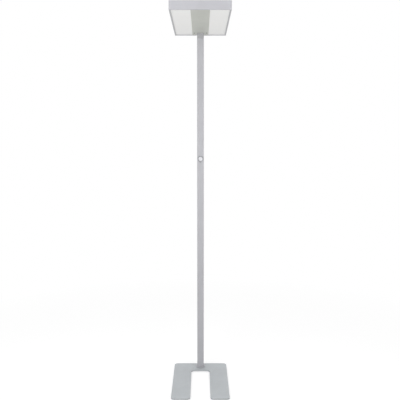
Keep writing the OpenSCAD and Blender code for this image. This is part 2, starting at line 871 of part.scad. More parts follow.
// LED board whose back is at z = 0 and whose LEDs point up, with its plug at lead_y
module led_board(side, lead_y) {
  mirror([side > 0 ? 0 : 1, 0, 0]) translate([board_x, 0, 0]) {
    translate([-board_w / 2, -board_l / 2, 0]) cube([board_w, board_l, board_t]);
    translate([-board_w / 2, lead_y - plug_l / 2, board_t]) cube([plug_l, plug_l, plug_h]);
    for (row = [0 : led_rows - 1], i = [0 : led_count - 1])
      translate([(row - (led_rows - 1) / 2) * led_row_pitch - led_size / 2,
                 (i - (led_count - 1) / 2) * led_pitch - led_size / 2, board_t])
        cube([led_size, led_size, led_h]);
  }
}

module downlight_board(side) {
  translate([0, 0, chassis_z]) mirror([0, 0, 1]) led_board(side, board_lead_y);
}

module uplight_board(side) {
  translate([0, 0, chassis_top]) led_board(side, up_lead_y);
}

module left_downlight_board() {
  color([0.95, 0.95, 0.9]) downlight_board(-1);
}

module right_downlight_board() {
  color([0.95, 0.95, 0.9]) downlight_board(1);
}

module left_uplight_board() {
  color([0.95, 0.95, 0.9]) uplight_board(-1);
}

module right_uplight_board() {
  color([0.95, 0.95, 0.9]) uplight_board(1);
}

// From the terminal block down through the chassis plate to the rear end of the driver
module driver_lead() {
  top_z = terminal_lead_z;
  low_z = chassis_z - wire_drop;
  driver_end = driver_y + driver_l / 2;
  color([0.85, 0.85, 0.86]) {
    lead_along_y(wire_d, driver_lead_x, top_z, driver_lead_y + wire_bend_r, terminal_y - terminal_l);
    translate([driver_lead_x, driver_lead_y + wire_bend_r, top_z - wire_bend_r])
      upright_ring(wire_d, wire_bend_r, 90);
    translate([driver_lead_x, driver_lead_y, low_z + wire_bend_r])
      cylinder(d = wire_d, h = top_z - low_z - 2 * wire_bend_r);
    translate([driver_lead_x, driver_lead_y - wire_bend_r, low_z + wire_bend_r])
      upright_ring(wire_d, wire_bend_r, 270);
    lead_along_y(wire_d, driver_lead_x, low_z, driver_end, driver_lead_y - wire_bend_r);
  }
}

// From the front end of the driver to the boards under the chassis plate
module downlight_leads() {
  z = chassis_z - wire_drop;
  color([0.8, 0.2, 0.15]) for (x = [0, 1]) mirror([x, 0, 0]) {
    lead_along_y(wire_d, down_lead_x, z, board_lead_y + wire_bend_r, driver_y - driver_l / 2);
    translate([down_lead_x + wire_bend_r, board_lead_y + wire_bend_r, z])
      rotate(180) quarter_ring(wire_d, wire_bend_r);
    lead_along_x(wire_d, board_lead_y, z, down_lead_x + wire_bend_r, board_x - board_w / 2);
  }
}

// From the front end of the driver up through the chassis plate to the upper boards
module uplight_leads() {
  z = chassis_z - wire_drop;
  color([0.8, 0.2, 0.15]) for (x = [0, 1]) mirror([x, 0, 0]) {
    lead_along_y(wire_d, up_lead_x, z, up_lead_y + wire_bend_r, driver_y - driver_l / 2);
    translate([up_lead_x, up_lead_y + wire_bend_r, z + wire_bend_r]) upright_ring(wire_d, wire_bend_r, 180);
    translate([up_lead_x, up_lead_y, z + wire_bend_r])
      cylinder(d = wire_d, h = up_lead_z - z - 2 * wire_bend_r);
    translate([up_lead_x + wire_bend_r, up_lead_y, up_lead_z - wire_bend_r])
      rotate([90, 0, 0]) rotate(90) quarter_ring(wire_d, wire_bend_r);
    lead_along_x(wire_d, up_lead_y, up_lead_z, up_lead_x + wire_bend_r, board_x - board_w / 2);
  }
}

module led_driver() {
  ear_w = driver_w * 0.6;
  color([0.9, 0.9, 0.9]) difference() {
    union() {
      box([-driver_w / 2, driver_y - driver_l / 2, chassis_z - driver_h],
          [driver_w / 2, driver_y + driver_l / 2, chassis_z]);
      box([-ear_w / 2, driver_y - driver_l / 2 - driver_ear, chassis_z - driver_ear_t],
          [ear_w / 2, driver_y + driver_l / 2 + driver_ear, chassis_z]);
    }
    at_driver_screws() translate([0, 0, chassis_z - driver_ear_t - past])
      cylinder(d = m4 + 2 * fit_gap, h = driver_ear_t + 2 * past);
  }
}

module driver_screws() {
  color([0.75, 0.75, 0.76])
    at_driver_screws() translate([0, 0, chassis_z - driver_ear_t]) mirror([0, 0, 1])
      pan_screw(m4, 2 * m4, m4 / 2, driver_ear_t + chassis_t);
}

module terminal_block() {
  ways = 5;
  way = terminal_w / ways;
  color([0.92, 0.92, 0.9]) difference() {
    box([-terminal_w / 2, terminal_y - terminal_l, bracket_z], [terminal_w / 2, terminal_y, bracket_z + terminal_h]);
    for (i = [0 : ways - 1])
      translate([(i - (ways - 1) / 2) * way, terminal_y - terminal_l / 2, bracket_z + terminal_h - m4])
        cylinder(d = m4, h = m4 + past);
  }
}

base_plate();
base_glides();
foot_flange();
foot_block();
foot_screws();
post_profile();
post_screws();
cable_gland();
gland_nut();
mains_lead();
control_bezel();
push_button();
button_spring();
control_housing();
switch_board();
indicator_lens();
control_lead();
neck_block();
head_bracket();
bracket_screws();
chassis_plate();
chassis_screws();
front_rail();
rear_rail();
left_rail();
right_rail();
corner_brackets();
centre_panel();
panel_screws();
left_diffuser();
right_diffuser();
left_reflector();
right_reflector();
left_downlight_board();
right_downlight_board();
left_uplight_board();
right_uplight_board();
top_cover();
cover_screws();
left_top_window();
right_top_window();
led_driver();
driver_screws();
terminal_block();
driver_lead();
downlight_leads();
uplight_leads();
lead_grommets();
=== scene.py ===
# Office floor lamp with a flat head on a slim post and a U-shaped base.
# Metres. Z is up, the floor is z = 0 and the lamp faces -Y.
import math

import bmesh
import bpy
from mathutils import Matrix, Vector


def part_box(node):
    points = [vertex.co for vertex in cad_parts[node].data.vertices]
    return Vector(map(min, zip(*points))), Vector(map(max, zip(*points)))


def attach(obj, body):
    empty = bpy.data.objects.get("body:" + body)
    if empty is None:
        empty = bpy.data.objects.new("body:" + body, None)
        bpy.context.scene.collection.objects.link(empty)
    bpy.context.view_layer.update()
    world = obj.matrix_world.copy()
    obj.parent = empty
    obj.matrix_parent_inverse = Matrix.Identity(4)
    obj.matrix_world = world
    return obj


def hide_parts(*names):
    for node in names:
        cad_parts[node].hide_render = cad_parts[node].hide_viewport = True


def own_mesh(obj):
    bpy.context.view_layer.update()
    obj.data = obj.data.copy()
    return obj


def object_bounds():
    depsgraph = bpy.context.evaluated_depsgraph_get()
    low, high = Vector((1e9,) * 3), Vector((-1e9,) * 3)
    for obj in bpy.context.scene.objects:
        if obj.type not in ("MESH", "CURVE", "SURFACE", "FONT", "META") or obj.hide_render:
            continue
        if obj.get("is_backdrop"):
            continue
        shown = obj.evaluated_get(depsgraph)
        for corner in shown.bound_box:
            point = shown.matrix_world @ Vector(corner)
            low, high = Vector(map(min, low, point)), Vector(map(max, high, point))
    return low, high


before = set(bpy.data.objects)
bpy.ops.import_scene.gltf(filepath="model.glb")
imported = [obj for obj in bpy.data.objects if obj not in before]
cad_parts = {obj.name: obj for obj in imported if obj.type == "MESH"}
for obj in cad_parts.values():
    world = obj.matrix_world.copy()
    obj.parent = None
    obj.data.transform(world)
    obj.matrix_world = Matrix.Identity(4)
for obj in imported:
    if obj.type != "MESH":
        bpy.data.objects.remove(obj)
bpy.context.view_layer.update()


# ---- Base plate ----
# Steel plate 8 mm thick, cut to a U by laser so that it goes round a desk leg. Its edges are
# dressed and it has a fine silver powder coat. Four screws from below hold the post's foot.

def display(red, green, blue):
    """The linear colour of three display levels from 0 to 255."""
    return (*(((level / 255 + 0.055) / 1.055) ** 2.4 for level in (red, green, blue)), 1)


def add(tree, kind, inputs=None, **settings):
    """Adds a node to a tree. Each input is a value, or a socket that is linked to it."""
    node = tree.nodes.new(kind)
    for label, value in settings.items():
        setattr(node, label, value)
    for label, value in (inputs or {}).items():
        if isinstance(value, bpy.types.NodeSocket):
            tree.links.new(value, node.inputs[label])
        else:
            node.inputs[label].default_value = value
    return node


def maths(tree, operation, first, second=0.0):
    return add(tree, "ShaderNodeMath", {0: first, 1: second}, operation=operation).outputs[0]


def blend(tree, mask, first, second):
    """Mixes two colours by a mask."""
    return add(tree, "ShaderNodeMix", {0: mask, 6: first, 7: second}, data_type="RGBA").outputs[2]


def spread(tree, value, low, high, to_low=0.0, to_high=1.0):
    """Stretches the part of a value from low to high over another range."""
    inputs = {
        "Value": value,
        "From Min": low,
        "From Max": high,
        "To Min": to_low,
        "To Max": to_high,
    }
    return add(tree, "ShaderNodeMapRange", inputs).outputs[0]


def noise(tree, place, scale, detail, **inputs):
    inputs.update(Vector=place, Scale=scale, Detail=detail)
    return add(tree, "ShaderNodeTexNoise", inputs).outputs[0]


def effect(name, inputs):
    """Starts a node group that puts out one mask. Gives its tree, its inputs and its way out."""
    tree = bpy.data.node_groups.new(name, "ShaderNodeTree")
    tree.interface.new_socket("Mask", in_out="OUTPUT", socket_type="NodeSocketFloat")
    tree.interface.new_socket("Place", in_out="INPUT", socket_type="NodeSocketVector")
    for label, value in inputs.items():
        socket = tree.interface.new_socket(label, in_out="INPUT", socket_type="NodeSocketFloat")
        socket.default_value = value
    given = tree.nodes.new("NodeGroupInput").outputs
    way_out = tree.nodes.new("NodeGroupOutput").inputs[0]
    return tree, given, way_out


def masked(tree, group, place, **inputs):
    """Adds an effect to a material and gives its mask."""
    return add(tree, "ShaderNodeGroup", {"Place": place, **inputs}, node_tree=group).outputs[0]


# Fine grain of a coating or of drawn metal
fine_grain, given, way_out = effect("fine_grain", {"Detail": 3.0})
grains = noise(fine_grain, given["Place"], scale=1.0, detail=given["Detail"])
fine_grain.links.new(spread(fine_grain, grains, low=0.3, high=0.7), way_out)

# Soft patches, where handling and cleaning leave a surface a little lighter or duller
soft_patches, given, way_out = effect("soft_patches", {"Size": 0.12})
per_metre = maths(soft_patches, "DIVIDE", 1.0, given["Size"])
patches = noise(soft_patches, given["Place"], scale=per_metre, detail=4.0, Distortion=0.6)
soft_patches.links.new(spread(soft_patches, patches, low=0.32, high=0.68), way_out)

# Edges rubbed by use, on the faces that the rounding of an edge has made
rubbed_edges, given, way_out = effect("rubbed_edges", {"Amount": 0.5})
edge = add(rubbed_edges, "ShaderNodeAttribute", attribute_name="edge").outputs["Fac"]
wear = noise(rubbed_edges, given["Place"], scale=60.0, detail=5.0)
worn = spread(rubbed_edges, wear, low=0.4, high=0.62)
bare = maths(rubbed_edges, "MULTIPLY", edge, worn)
rubbed = maths(rubbed_edges, "MULTIPLY", bare, given["Amount"])
rubbed_edges.links.new(rubbed, way_out)

# Dust that settles on what faces up
settled_dust, given, way_out = effect("settled_dust", {"Amount": 0.2})
normal = add(settled_dust, "ShaderNodeNewGeometry").outputs["Normal"]
slope = add(settled_dust, "ShaderNodeSeparateXYZ", {0: normal}).outputs["Z"]
upward = spread(settled_dust, slope, low=0.6, high=0.95)
fluff = noise(settled_dust, given["Place"], scale=34.0, detail=8.0)
specks = spread(settled_dust, fluff, low=0.4, high=0.75)
lying = maths(settled_dust, "MULTIPLY", upward, specks)
dust = maths(settled_dust, "MULTIPLY", lying, given["Amount"])
settled_dust.links.new(dust, way_out)

dust_colour = display(176, 172, 166)
grain_share = 0.4


def finish(
    name, dark, light, rough, grain, depth, metallic=0.0, rub=None, patch=0.12, dust=0.15, **plain
):
    """A material whose colour and gloss drift between two values, over a fine grain in relief.

    grain is how many grains lie in a metre along X, Y and Z, and depth is their height in metres.
    rub is the colour of the rubbed edges, and plain holds other values of the shader's own.
    """
    material = bpy.data.materials.new(name)
    material.use_nodes = True
    tree = material.node_tree
    shader = tree.nodes["Principled BSDF"]
    place = add(tree, "ShaderNodeTexCoord").outputs["Object"]
    stretched = add(tree, "ShaderNodeMapping", {"Vector": place, "Scale": grain}).outputs[0]
    grains = masked(tree, fine_grain, stretched)
    patches = masked(tree, soft_patches, place, Size=patch)
    drift = add(tree, "ShaderNodeMix", {0: grain_share, 2: patches, 3: grains}).outputs[0]
    colour = blend(tree, drift, dark, light)
    gloss = spread(tree, drift, 0.0, 1.0, to_low=rough[0], to_high=rough[1])
    if rub:
        colour = blend(tree, masked(tree, rubbed_edges, place), colour, rub)
    if dust:
        lying = masked(tree, settled_dust, place, Amount=dust)
        colour = blend(tree, lying, colour, dust_colour)
        gloss = maths(tree, "ADD", gloss, lying)
    relief = add(tree, "ShaderNodeBump", {"Height": grains, "Distance": depth})
    tree.links.new(colour, shader.inputs["Base Color"])
    tree.links.new(gloss, shader.inputs["Roughness"])
    tree.links.new(relief.outputs[0], shader.inputs["Normal"])
    shader.inputs["Metallic"].default_value = metallic
    for label, value in plain.items():
        shader.inputs[label.replace("_", " ")].default_value = value
    return material


def overlay(material, mask, colour):
    """Lays another colour over a material's own, where a mask is 1."""
    tree = material.node_tree
    base = tree.nodes["Principled BSDF"].inputs["Base Color"]
    tree.links.new(blend(tree, mask, base.links[0].from_socket, colour), base)


def merged_copy(node):
    """A bmesh of a CAD node's shape, its loose triangles joined and its flat faces whole."""
    shape = bmesh.new()
    shape.from_mesh(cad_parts[node].data)
    bmesh.ops.remove_doubles(shape, verts=shape.verts, dist=1e-6)
    flat = math.radians(0.5)
    bmesh.ops.dissolve_limit(shape, angle_limit=flat, verts=shape.verts, edges=shape.edges)
    return shape


def round_edges(shape, radius, segments=3, sharper_than=30, pick=None):
    """Rounds a shape's sharp edges, or those of them that pick chooses, and marks the new faces."""
    mark = shape.loops.layers.float.get("edge") or shape.loops.layers.float.new("edge")
    limit = math.radians(sharper_than)
    sharp = [
        edge
        for edge in shape.edges
        if edge.is_manifold and edge.calc_face_angle() > limit and (not pick or pick(edge))
    ]
    rounding = {"affect": "EDGES", "segments": segments, "profile": 0.5, "material": -1}
    made = bmesh.ops.bevel(shape, geom=sharp, offset=radius, clamp_overlap=False, **rounding)
    for face in made["faces"]:
        for loop in face.loops:
            loop[mark] = 1.0
    return shape


def rounded(node, radius, segments=3):
    """A bmesh of a CAD node's shape with its sharp edges rounded."""
    return round_edges(merged_copy(node), radius, segments)


def piece(shape, name, material, nodes, body="lamp"):
    """Makes an object of a shape, dresses it and lets it stand for its CAD nodes."""
    mesh = bpy.data.meshes.new(name)
    shape.to_mesh(mesh)
    shape.free()
    mesh.shade_smooth()
    mesh.set_sharp_from_angle(angle=math.radians(35))
    mesh.materials.append(material)
    made = bpy.data.objects.new(name, mesh)
    bpy.context.scene.collection.objects.link(made)
    even = made.modifiers.new("even_shading", "WEIGHTED_NORMAL")
    even.keep_sharp = True
    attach(made, body)
    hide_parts(*nodes)
    return made


silver_coat = finish(
    "silver_coat",
    dark=display(180, 184, 187),
    light=display(190, 194, 197),
    rough=(0.54, 0.66),
    grain=(1400, 1400, 1400),
    depth=0.00001,
    metallic=0.35,
    dust=0.06,
    rub=display(204, 207, 209),
)
plate_edge = 0.0006
base = rounded("base_plate", plate_edge)
piece(base, "base", silver_coat, ["base_plate"])


# ---- Glides ----
# Six moulded rubber pads under the plate. Each stands on a ring round a shallow dish, so that
# it grips a hard floor, and is glued into place.

def turned(outline, steps=48):
    """A bmesh of a closed shape, turned round Z from its (radius, height) outline."""
    shape = bmesh.new()
    corners = [shape.verts.new((radius, 0, height)) for radius, height in outline]
    for first, second in zip(corners, corners[1:]):
        shape.edges.new((first, second))
    bmesh.ops.spin(
        shape,
        geom=shape.verts[:] + shape.edges[:],
        cent=(0, 0, 0),
        axis=(0, 0, 1),
        angle=math.tau,
        steps=steps,
        use_merge=True,
    )
    bmesh.ops.remove_doubles(shape, verts=shape.verts, dist=1e-7)
    bmesh.ops.recalc_face_normals(shape, faces=shape.faces)
    return shape


def gather(shape, part, *places):
    """Adds copies of a part to a shape, one at each placing matrix, and frees the part."""
    mesh = bpy.data.meshes.new("part")
    part.to_mesh(mesh)
    part.free()
    for placing in places:
        mesh_copy = mesh.copy()
        mesh_copy.transform(placing)
        shape.from_mesh(mesh_copy)
        bpy.data.meshes.remove(mesh_copy)
    bpy.data.meshes.remove(mesh)
    return shape


def at(x, y, z):
    return Matrix.Translation((x, y, z))


black_rubber = finish(
    "black_rubber",
    dark=display(26, 26, 27),
    light=display(44, 44, 45),
    rough=(0.7, 0.9),
    grain=(900, 900, 900),
    depth=0.00004,
    dust=0.3,
)
glide_r = 0.012
glide_ring_r = glide_r * 0.6
glide_dish_r = glide_r * 0.5
glide_dish = 0.0007
glide_low, glide_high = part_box("base_glides")
glide = turned([
    (0, glide_high.z),
    (glide_r, glide_high.z),
    (glide_r, glide_dish),
    (glide_r - glide_dish, 0),
    (glide_ring_r, 0),
    (glide_dish_r, glide_dish),
    (0, glide_dish),
])
glide_xs = (glide_low.x + glide_r, glide_high.x - glide_r)
glide_ys = (glide_low.y + glide_r, (glide_low.y + glide_high.y) / 2, glide_high.y - glide_r)
glides = gather(bmesh.new(), glide, *(at(x, y, 0) for x in glide_xs for y in glide_ys))
piece(glides, "glides", black_rubber, ["base_glides"])


# ---- Foot ----
# An aluminium block inside the post's foot, screwed down through the plate by four countersunk
# M6 screws with hexagon sockets. A turned ring hides the joint between post and plate.

def dress(material, *nodes):
    """Gives CAD nodes, whose shape stays, a finish of their own."""
    for node in nodes:
        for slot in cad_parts[node].material_slots:
            slot.material = material


# A screw's recess as (turn in degrees, share of its reach), and how far it narrows to its floor
recesses = {
    "hexagon": ([(turn, 1.0) for turn in range(0, 360, 60)], 1.0),
    "cross": ([(quarter + turn, reach) for quarter in (0, 90, 180, 270)
               for turn, reach in ((-15, 1.0), (15, 1.0), (45, 0.4))], 0.5),
}


def screw(thread_r, length, head_r, head_h, drive, countersunk=False):
    """A screw along Z. The flat of its head is at z = 0 when countersunk, or its seat is."""
    pitch = thread_r * 0.32
    root_r = thread_r * 0.88
    tip_r = thread_r * 0.7
    neck_z = -(head_r - thread_r) if countersunk else 0
    top_z = 0 if countersunk else head_h
    side_z = top_z * 0.7
    reach = head_r * 0.5
    opening_r = reach * 1.15
    rim_r = head_r * (1 if countersunk else 0.86)
    outline = [(opening_r, top_z), (rim_r, top_z)]
    if not countersunk:
        outline += [(head_r, side_z), (head_r, 0)]
    outline.append((thread_r, neck_z))
    ridges = int((length + neck_z) / pitch) - 1
    for ridge in range(ridges):
        outline.append((thread_r, neck_z - ridge * pitch))
        outline.append((root_r, neck_z - (ridge + 0.5) * pitch))
    outline += [(thread_r, neck_z - ridges * pitch), (tip_r, -length), (0, -length)]
    shape = turned(outline, steps=24)
    opening = [edge for edge in shape.edges if edge.is_boundary]
    points, narrowing = recesses[drive]
    corners = []
    for turn, share in points:
        turning = Matrix.Rotation(math.radians(turn), 3, "Z")
        corners.append(shape.verts.new(turning @ Vector((reach * share, 0, top_z))))
    rim = [shape.edges.new((corners[i - 1], corners[i])) for i in range(len(corners))]
    bmesh.ops.bridge_loops(shape, edges=opening + rim)
    sunk = bmesh.ops.extrude_edge_only(shape, edges=rim)["geom"]
    floor = [part for part in sunk if isinstance(part, bmesh.types.BMVert)]
    depth = min(head_h, length) * 0.55
    bmesh.ops.scale(shape, verts=floor, vec=(narrowing, narrowing, 1))
    bmesh.ops.translate(shape, verts=floor, vec=(0, 0, -depth))
    floor_rim = [part for part in sunk if isinstance(part, bmesh.types.BMEdge)]
    bmesh.ops.contextual_create(shape, geom=floor_rim)
    bmesh.ops.recalc_face_normals(shape, faces=shape.faces)
    return shape


zinc_steel = finish(
    "zinc_steel",
    dark=display(168, 170, 174),
    light=display(206, 206, 202),
    rough=(0.22, 0.4),
    grain=(500, 500, 500),
    depth=0.000004,
    metallic=1.0,
    patch=0.01,
)
block_aluminium = finish(
    "block_aluminium",
    dark=display(150, 150, 152),
    light=display(186, 186, 188),
    rough=(0.3, 0.5),
    grain=(60, 60, 2400),
    depth=0.000006,
    metallic=1.0,
    patch=0.03,
)
flange_grey = finish(
    "flange_grey",
    dark=display(184, 184, 188),
    light=display(196, 196, 200),
    rough=(0.5, 0.6),
    grain=(2000, 2000, 300),
    depth=0.000005,
    metallic=0.35,
    rub=display(204, 205, 208),
)
dress(block_aluminium, "foot_block")
foot_ring_edge = 0.0006
foot_ring = rounded("foot_flange", foot_ring_edge)
piece(foot_ring, "foot_ring", flange_grey, ["foot_flange"])

post_low, post_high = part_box("post_profile")
post_y = (post_low.y + post_high.y) / 2
plate_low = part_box("base_plate")[0]
foot_pitch = 0.020
foot_screw = screw(
    thread_r=0.003,
    length=0.030,
    head_r=0.006,
    head_h=0.004,
    drive="hexagon",
    countersunk=True,
)
turned_down = Matrix.Rotation(math.pi, 4, "X")
foot_places = [
    at(x * foot_pitch / 2, post_y + y * foot_pitch / 2, plate_low.z) @ turned_down
    for x in (-1, 1)
    for y in (-1, 1)
]
plate_screws = gather(bmesh.new(), foot_screw, *foot_places)
piece(plate_screws, "plate_screws", zinc_steel, ["foot_screws"])


# ---- Post ----
# A square tube of drawn aluminium with rounded corners, lacquered silver. The lines of the
# drawing run along it. Screws in its rear face hold it on the foot block and on the neck.

post_silver = finish(
    "post_silver",
    dark=display(181, 181, 185),
    light=display(192, 192, 196),
    rough=(0.54, 0.66),
    grain=(2600, 2600, 14),
    depth=0.000006,
    metallic=0.35,
    rub=display(214, 214, 218),
)
post_edge = 0.00025
post = rounded("post_profile", post_edge)
piece(post, "post", post_silver, ["post_profile"])

turned_back = Matrix.Rotation(-math.pi / 2, 4, "X")
screw_inset = 0.011
foot_block_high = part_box("foot_block")[1].z
spigot_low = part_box("neck_block")[0].z
post_screw_zs = (
    post_low.z + screw_inset,
    foot_block_high - screw_inset,
    spigot_low + screw_inset,
    post_high.z - screw_inset,
)
post_screw = screw(thread_r=0.0025, length=0.010, head_r=0.0045, head_h=0.0025, drive="hexagon")
post_places = [at(0, post_high.y, z) @ turned_back for z in post_screw_zs]
rear_screws = gather(bmesh.new(), post_screw, *post_places)
piece(rear_screws, "post_rear_screws", zinc_steel, ["post_screws"])


# ---- Cord inlet ----
# A black nylon bushing low in the post's rear face, held by a nut inside the post. Its flange
# is ribbed for grip. The lead runs from here up to the head, in a white sheath.

black_nylon = finish(
    "black_nylon",
    dark=display(34, 34, 36),
    light=display(52, 52, 54),
    rough=(0.45, 0.6),
    grain=(1100, 1100, 1100),
    depth=0.00001,
    rub=display(82, 82, 84),
)
inlet_low, inlet_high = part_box("cable_gland")
inlet_z = (inlet_low.z + inlet_high.z) / 2
inlet_flange_r = (inlet_high.x - inlet_low.x) / 2
inlet_flange_t = 0.005
inlet_face_r = inlet_flange_r * 0.8
inlet_slope = 0.0012
inlet_body_r = 0.008
inlet_bore_r = 0.0035
inlet_mouth = 0.0006
inlet_deep = inlet_high.y - inlet_low.y
inlet_ribs = 24
rib_depth = 0.0005
bushing = turned([
    (inlet_bore_r, -inlet_mouth),
    (inlet_bore_r + inlet_mouth, 0),
    (inlet_face_r, 0),
    (inlet_flange_r, -inlet_slope),
    (inlet_flange_r, -inlet_flange_t),
    (inlet_body_r, -inlet_flange_t),
    (inlet_body_r, -inlet_deep),
    (inlet_bore_r, -inlet_deep),
    (inlet_bore_r, -inlet_mouth),
], steps=2 * inlet_ribs)
for corner in bushing.verts:
    step = round(math.atan2(corner.co.y, corner.co.x) / math.tau * 2 * inlet_ribs)
    if corner.co.xy.length > inlet_flange_r * 0.99 and step % 2:
        corner.co.xy *= 1 - rib_depth / inlet_flange_r
placed = gather(bmesh.new(), bushing, at(0, inlet_high.y, inlet_z) @ turned_back)
piece(placed, "cord_bushing", black_nylon, ["cable_gland"])
nut_edge = 0.0004
nut = rounded("gland_nut", nut_edge, 2)
piece(nut, "bushing_nut", black_nylon, ["gland_nut"])


sheath_shade = 0.82


def lead_sheath(name, colour):
    """The soft sheath of a lead, a little uneven from its extrusion."""
    return finish(
        name,
        dark=(*(level * sheath_shade for level in colour[:3]), 1),
        light=colour,
        rough=(0.42, 0.58),
        grain=(700, 700, 700),
        depth=0.00001,
        patch=0.02,
        dust=0,
    )


lead_grey = lead_sheath("lead_grey", display(92, 93, 97))
lead_white = lead_sheath("lead_white", display(222, 222, 220))
lead_red = lead_sheath("lead_red", display(186, 44, 36))
dress(lead_white, "mains_lead")


# ---- Control ----
# A pressed-in module: a satin ring that dishes down to a glossy push button, a small smoked
# indicator below it, and behind them a black housing with the switch board and a spring.

control_z = sum(corner.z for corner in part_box("push_button")) / 2
into_post = at(0, post_low.y, control_z) @ turned_back
ring_low, ring_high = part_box("control_bezel")
ring_r = (ring_high.x - ring_low.x) / 2
ring_proud = post_low.y - ring_low.y
ring_deep = ring_high.y - post_low.y
ring_flange = 0.0018
ring_body_r = ring_r - ring_flange
ring_wall = 0.0012
ring_rim = 0.001
ring_edge = 0.0002
cap_r = 0.012
cap_gap = 0.0003
lip_front = 0.0014
lip_rear = 0.003
ring_grey = finish(
    "ring_grey",
    dark=display(150, 151, 155),
    light=display(168, 169, 173),
    rough=(0.25, 0.35),
    grain=(1500, 1500, 1500),
    depth=0.000003,
    metallic=0.75,
    rub=display(190, 191, 194),
    patch=0.01,
    dust=0,
)
ring = turned([
    (cap_r + cap_gap, lip_front),
    (ring_r - ring_rim, -ring_proud),
    (ring_r, -ring_proud),
    (ring_r, 0),
    (ring_body_r, 0),
    (ring_body_r, ring_deep),
    (ring_body_r - ring_wall, ring_deep),
    (ring_body_r - ring_wall, lip_rear),
    (cap_r + cap_gap, lip_rear),
    (cap_r + cap_gap, lip_front),
], steps=96)
ring = gather(bmesh.new(), round_edges(ring, ring_edge, 2), into_post)
piece(ring, "control_ring", ring_grey, ["control_bezel"])

# The cap has a soft rim round a shallow finger dish, with a small dimple at its middle
button_white = finish(
    "button_white",
    dark=display(232, 232, 237),
    light=display(240, 240, 244),
    rough=(0.12, 0.2),
    grain=(900, 900, 900),
    depth=0.000002,
    rub=display(216, 216, 220),
    patch=0.006,
    dust=0,
    Coat_Weight=0.3,
)
cap_low, cap_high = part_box("push_button")
cap_front = cap_low.y - post_low.y
cap_end = cap_high.y - post_low.y
cap_flange = lip_rear + cap_gap
cap_flange_t = 0.002
cap_overlap = 0.0012
cap_flange_r = cap_r + cap_overlap
cap_round = 0.0008
stem_r = 0.0035
dish = 0.0008
dish_r = 0.0095
dish_steps = 8
dimple_r = 0.0014
dimple = 0.0003
cap_outline = [
    (0, cap_front + dish + dimple),
    (dimple_r * 0.6, cap_front + dish + dimple * 2 / 3),
]
for step in range(dish_steps + 1):
    share = step / dish_steps
    radius = dimple_r + (dish_r - dimple_r) * share
    cap_outline.append((radius, cap_front + dish * (1 - share * share)))
cap_outline += [
    (cap_r - cap_round, cap_front + cap_round * 0.05),
    (cap_r - cap_round * 0.3, cap_front + cap_round * 0.3),
    (cap_r, cap_front + cap_round),
    (cap_r, cap_flange),
    (cap_flange_r, cap_flange),
    (cap_flange_r, cap_flange + cap_flange_t),
    (stem_r, cap_flange + cap_flange_t),
    (stem_r, cap_end),
    (0, cap_end),
]
cap = gather(bmesh.new(), turned(cap_outline, steps=96), into_post)
piece(cap, "button_cap", button_white, ["push_button"], body="button")

# Conical spring that pushes the cap's flange against the ring
spring_low, spring_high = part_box("button_spring")
coils = 2.5
coil_steps = 24
coil_wire_r = 0.0003
coil_small_r = 0.0048
coil_large_r = (spring_high.x - spring_low.x) / 2 - coil_wire_r
coil_rise = spring_high.y - spring_low.y - 2 * coil_wire_r
spring = bmesh.new()
section = bmesh.ops.create_circle(spring, segments=8, radius=coil_wire_r)["verts"]
turned_front = Matrix.Rotation(math.pi / 2, 4, "X")
to_radius = at(coil_large_r, 0, coil_wire_r) @ turned_front
bmesh.ops.transform(spring, matrix=to_radius, verts=section)
bmesh.ops.contextual_create(spring, geom=section)
bmesh.ops.spin(
    spring,
    geom=spring.verts[:] + spring.edges[:] + spring.faces[:],
    cent=(0, 0, 0),
    axis=(0, 0, 1),
    dvec=(0, 0, coil_rise / (coils * coil_steps)),
    angle=math.tau * coils,
    steps=int(coils * coil_steps),
)
for corner in spring.verts:
    share = min(1, max(0, (corner.co.z - coil_wire_r) / coil_rise))
    radius = corner.co.xy.length
    corner.co.xy *= (radius - (coil_large_r - coil_small_r) * share) / radius
bmesh.ops.recalc_face_normals(spring, faces=spring.faces)
placed = gather(bmesh.new(), spring, at(0, spring_high.y, control_z) @ turned_front)
coil = piece(placed, "button_coil", zinc_steel, ["button_spring"])
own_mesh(coil)

housing_edge = 0.0005
housing = rounded("control_housing", housing_edge, 2)
piece(housing, "switch_housing", black_nylon, ["control_housing"])

# Green board: lacquered copper tracks run down it in steps
board_green = finish(
    "board_green",
    dark=display(18, 74, 46),
    light=display(26, 92, 58),
    rough=(0.25, 0.4),
    grain=(1600, 1600, 1600),
    depth=0.000004,
    patch=0.01,
    dust=0,
)
tracks, given, way_out = effect("tracks", {"Pitch": 0.002, "Width": 0.3})
steps_per_metre = 90.0
step_shift = 0.004
inputs = {"Vector": given["Place"], "Scale": steps_per_metre}
steps = add(tracks, "ShaderNodeTexVoronoi", inputs, distance="MANHATTAN")
across = add(tracks, "ShaderNodeSeparateXYZ", {0: given["Place"]}).outputs["X"]
shift = maths(tracks, "MULTIPLY", steps.outputs["Distance"], step_shift)
shifted = maths(tracks, "ADD", across, shift)
lines = maths(tracks, "PINGPONG", shifted, given["Pitch"])
share = maths(tracks, "DIVIDE", lines, given["Pitch"])
tracks.links.new(maths(tracks, "LESS_THAN", share, given["Width"]), way_out)
tree = board_green.node_tree
place = add(tree, "ShaderNodeTexCoord").outputs["Object"]
overlay(board_green, masked(tree, tracks, place), display(58, 128, 74))
dress(board_green, "switch_board")

